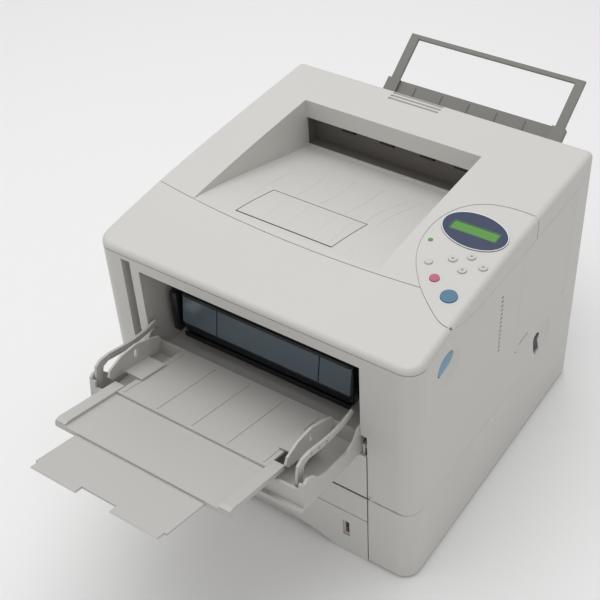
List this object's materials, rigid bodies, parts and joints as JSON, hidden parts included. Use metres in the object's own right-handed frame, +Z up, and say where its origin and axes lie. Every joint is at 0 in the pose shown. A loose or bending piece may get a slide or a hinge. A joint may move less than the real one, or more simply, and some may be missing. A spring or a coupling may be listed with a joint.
{
  "type": "laser printer",
  "caption": "Office laser printer with an opening front cover, fold-out multipurpose tray, paper cassette, rear output tray and a control panel.",
  "frame": {"origin": "centre of the whole bounding box with both outer trays open, at the level of the feet", "axes": "+X to the right seen from the front, +Y to the back, +Z up"},
  "size_m": [0.408, 0.7994, 0.3499],
  "materials": {
    "shell": "fine textured",
    "panel_grey": "satin",
    "feed_black": "satin",
    "feed_panel": "satin",
    "badge_navy": "gloss",
    "lcd": "gloss",
    "lamp": "clear",
    "button_blue": "satin",
    "button_red": "satin",
    "button_grey": "satin",
    "rear_grey": "satin",
    "steel": "zinc plated",
    "rubber": "matt",
    "toner_black": "satin",
    "drum_blue": "gloss",
    "board": "satin",
    "tray_grey": "satin"
  },
  "bodies": {
    "frame": {"base_frame": "shell", "feet": "rubber", "right_side_cover": "shell", "left_side_cover": "shell", "controller_cover": "shell", "rear_cover": "shell", "top_cover": "shell", "control_panel": "panel_grey", "display_badge": "badge_navy", "lcd_window": "lcd", "status_led": "lamp", "inner_plates": "steel", "exit_frame": "feed_black", "fuser_frame": "feed_black", "toner_cartridge": "toner_black", "laser_unit": "toner_black", "main_motor": "steel", "main_board": "board", "power_supply": "steel", "fan_frame": "toner_black", "ac_inlet": "toner_black", "interface_ports": "steel", "rear_screws": "steel"},
    "front_door": {"front_cover": "shell", "front_cap": "shell", "mp_feed_unit": "feed_black", "mp_feed_panels": "feed_panel"},
    "multipurpose_tray": {"mp_tray": "shell", "mp_stay_arms": "shell"},
    "cassette": {"cassette_tray": "tray_grey", "cassette_front": "shell"},
    "button_cancel": {"button_cancel": "button_red"},
    "button_go": {"button_go": "button_blue"},
    "button_nav_down": {"button_nav_down": "button_grey"},
    "button_nav_left": {"button_nav_left": "button_grey"},
    "button_nav_right": {"button_nav_right": "button_grey"},
    "button_nav_up": {"button_nav_up": "button_grey"},
    "button_reprint": {"button_reprint": "button_grey"},
    "cassette_guide_left": {"cassette_guide_left": "tray_grey"},
    "cassette_guide_right": {"cassette_guide_right": "tray_grey"},
    "cassette_lift_plate": {"cassette_lift_plate": "steel"},
    "cassette_rear_stop": {"cassette_rear_stop": "tray_grey"},
    "drum": {"drum": "drum_blue"},
    "exit_roller": {"exit_roller": "rubber"},
    "fan_rotor": {"fan_rotor": "toner_black"},
    "fuser_roller": {"fuser_roller": "rubber"},
    "mp_extension": {"mp_extension": "shell"},
    "mp_feed_roller": {"mp_feed_roller": "rubber"},
    "mp_flap": {"mp_flap": "shell"},
    "mp_guide_left": {"mp_guide_left": "shell"},
    "mp_guide_right": {"mp_guide_right": "shell"},
    "paper_gauge": {"paper_gauge": "button_red"},
    "paper_stopper": {"paper_stopper": "shell"},
    "pickup_roller": {"pickup_roller": "rubber"},
    "power_switch": {"power_switch": "shell"},
    "pressure_roller": {"pressure_roller": "rubber"},
    "rear_tray": {"rear_tray": "rear_grey"},
    "rear_tray_extension": {"rear_tray_extension": "rear_grey"},
    "release_button": {"release_button": "button_blue"},
    "transfer_roller": {"transfer_roller": "rubber"}
  },
  "joints": [
    {"name": "front_door_hinge", "type": "hinge", "parent": "frame", "child": "front_door", "pos_m": [0.006, -0.15516, 0.1155], "axis": [1, 0, 0], "range_deg": [0, 50]},
    {"name": "multipurpose_tray_hinge", "type": "hinge", "parent": "front_door", "child": "multipurpose_tray", "pos_m": [0.006, -0.15036, 0.19], "axis": [-1, 0, 0], "range_deg": [0, 82]},
    {"name": "mp_extension_slide", "type": "slide", "parent": "multipurpose_tray", "child": "mp_extension", "axis": [0, -0.9703, 0.2418], "range_m": [-0.09452, 0]},
    {"name": "mp_flap_slide", "type": "slide", "parent": "mp_extension", "child": "mp_flap", "axis": [0, -0.9703, 0.2418], "range_m": [-0.08044, 0]},
    {"name": "mp_guide_right_slide", "type": "slide", "parent": "multipurpose_tray", "child": "mp_guide_right", "axis": [1, 0, 0], "range_m": [-0.05, 0]},
    {"name": "mp_guide_left_slide", "type": "slide", "parent": "multipurpose_tray", "child": "mp_guide_left", "axis": [1, 0, 0], "range_m": [0, 0.05]},
    {"name": "mp_feed_roller_spin", "type": "hinge", "parent": "front_door", "child": "mp_feed_roller", "pos_m": [0.006, -0.10936, 0.2156], "axis": [1, 0, 0], "continuous": true},
    {"name": "cassette_slide", "type": "slide", "parent": "frame", "child": "cassette", "axis": [0, -1, 0], "range_m": [0, 0.3]},
    {"name": "lift_plate_hinge", "type": "hinge", "parent": "cassette", "child": "cassette_lift_plate", "pos_m": [0.006, 0.01364, 0.011], "axis": [-1, 0, 0], "range_deg": [0, 12]},
    {"name": "paper_gauge_slide", "type": "slide", "parent": "cassette", "child": "paper_gauge", "axis": [0, 0, 1], "range_m": [0, 0.012]},
    {"name": "cassette_guide_right_slide", "type": "slide", "parent": "cassette", "child": "cassette_guide_right", "axis": [-1, 0, 0], "range_m": [0, 0.05]},
    {"name": "cassette_guide_left_slide", "type": "slide", "parent": "cassette", "child": "cassette_guide_left", "axis": [1, 0, 0], "range_m": [0, 0.05]},
    {"name": "cassette_rear_stop_slide", "type": "slide", "parent": "cassette", "child": "cassette_rear_stop", "axis": [0, -1, 0], "range_m": [0, 0.06]},
    {"name": "paper_stopper_hinge", "type": "hinge", "parent": "frame", "child": "paper_stopper", "pos_m": [-0.029, -0.04236, 0.3377], "axis": [1, 0, 0], "range_deg": [0, 110]},
    {"name": "rear_tray_hinge", "type": "hinge", "parent": "frame", "child": "rear_tray", "pos_m": [0.006, 0.25264, 0.232], "axis": [1, 0, 0], "range_deg": [0, 54]},
    {"name": "rear_extension_slide", "type": "slide", "parent": "rear_tray", "child": "rear_tray_extension", "axis": [0, 0.809, 0.5878], "range_m": [-0.062, 0]},
    {"name": "release_button_slide", "type": "slide", "parent": "frame", "child": "release_button", "axis": [-1, 0, 0], "range_m": [0, 0.003], "stiffness_N_per_m": 300},
    {"name": "power_switch_rocker", "type": "hinge", "parent": "frame", "child": "power_switch", "pos_m": [0.192, 0.14064, 0.131], "axis": [0, 1, 0], "range_deg": [-8, 8]},
    {"name": "button_go_press", "type": "slide", "parent": "frame", "child": "button_go", "axis": [0, 0, -1], "range_m": [0, 0.0008], "stiffness_N_per_m": 300},
    {"name": "button_cancel_press", "type": "slide", "parent": "frame", "child": "button_cancel", "axis": [0, 0, -1], "range_m": [0, 0.0008], "stiffness_N_per_m": 300},
    {"name": "button_reprint_press", "type": "slide", "parent": "frame", "child": "button_reprint", "axis": [0, 0, -1], "range_m": [0, 0.0008], "stiffness_N_per_m": 300},
    {"name": "button_nav_left_press", "type": "slide", "parent": "frame", "child": "button_nav_left", "axis": [0, 0, -1], "range_m": [0, 0.0008], "stiffness_N_per_m": 300},
    {"name": "button_nav_up_press", "type": "slide", "parent": "frame", "child": "button_nav_up", "axis": [0, 0, -1], "range_m": [0, 0.0008], "stiffness_N_per_m": 300},
    {"name": "button_nav_right_press", "type": "slide", "parent": "frame", "child": "button_nav_right", "axis": [0, 0, -1], "range_m": [0, 0.0008], "stiffness_N_per_m": 300},
    {"name": "button_nav_down_press", "type": "slide", "parent": "frame", "child": "button_nav_down", "axis": [0, 0, -1], "range_m": [0, 0.0008], "stiffness_N_per_m": 300},
    {"name": "pickup_roller_spin", "type": "hinge", "parent": "frame", "child": "pickup_roller", "pos_m": [0.006, -0.11436, 0.089], "axis": [1, 0, 0], "continuous": true},
    {"name": "exit_roller_spin", "type": "hinge", "parent": "frame", "child": "exit_roller", "pos_m": [0.006, 0.18514, 0.318], "axis": [1, 0, 0], "continuous": true},
    {"name": "fuser_roller_spin", "type": "hinge", "parent": "frame", "child": "fuser_roller", "pos_m": [0.006, 0.19364, 0.232], "axis": [1, 0, 0], "continuous": true},
    {"name": "pressure_roller_spin", "type": "hinge", "parent": "frame", "child": "pressure_roller", "pos_m": [0.006, 0.19364, 0.2067], "axis": [1, 0, 0], "continuous": true},
    {"name": "drum_spin", "type": "hinge", "parent": "frame", "child": "drum", "pos_m": [0.006, 0.06764, 0.182], "axis": [1, 0, 0], "continuous": true},
    {"name": "transfer_roller_spin", "type": "hinge", "parent": "frame", "child": "transfer_roller", "pos_m": [0.006, 0.06764, 0.1585], "axis": [1, 0, 0], "continuous": true},
    {"name": "fan_rotor_spin", "type": "hinge", "parent": "frame", "child": "fan_rotor", "pos_m": [0.168, 0.23664, 0.18], "axis": [0, 1, 0], "continuous": true}
  ],
  "couplings": [
    {"joint": "mp_extension_slide", "follows": "multipurpose_tray_hinge", "m_per_rad": -0.066042},
    {"joint": "mp_flap_slide", "follows": "multipurpose_tray_hinge", "m_per_rad": -0.056206},
    {"joint": "mp_guide_left_slide", "follows": "mp_guide_right_slide", "ratio": -1},
    {"joint": "paper_gauge_slide", "follows": "lift_plate_hinge", "m_per_rad": 0.057296},
    {"joint": "cassette_guide_left_slide", "follows": "cassette_guide_right_slide", "ratio": 1},
    {"joint": "rear_extension_slide", "follows": "rear_tray_hinge", "m_per_rad": -0.065784},
    {"joint": "pressure_roller_spin", "follows": "fuser_roller_spin", "ratio": -1}
  ]
}
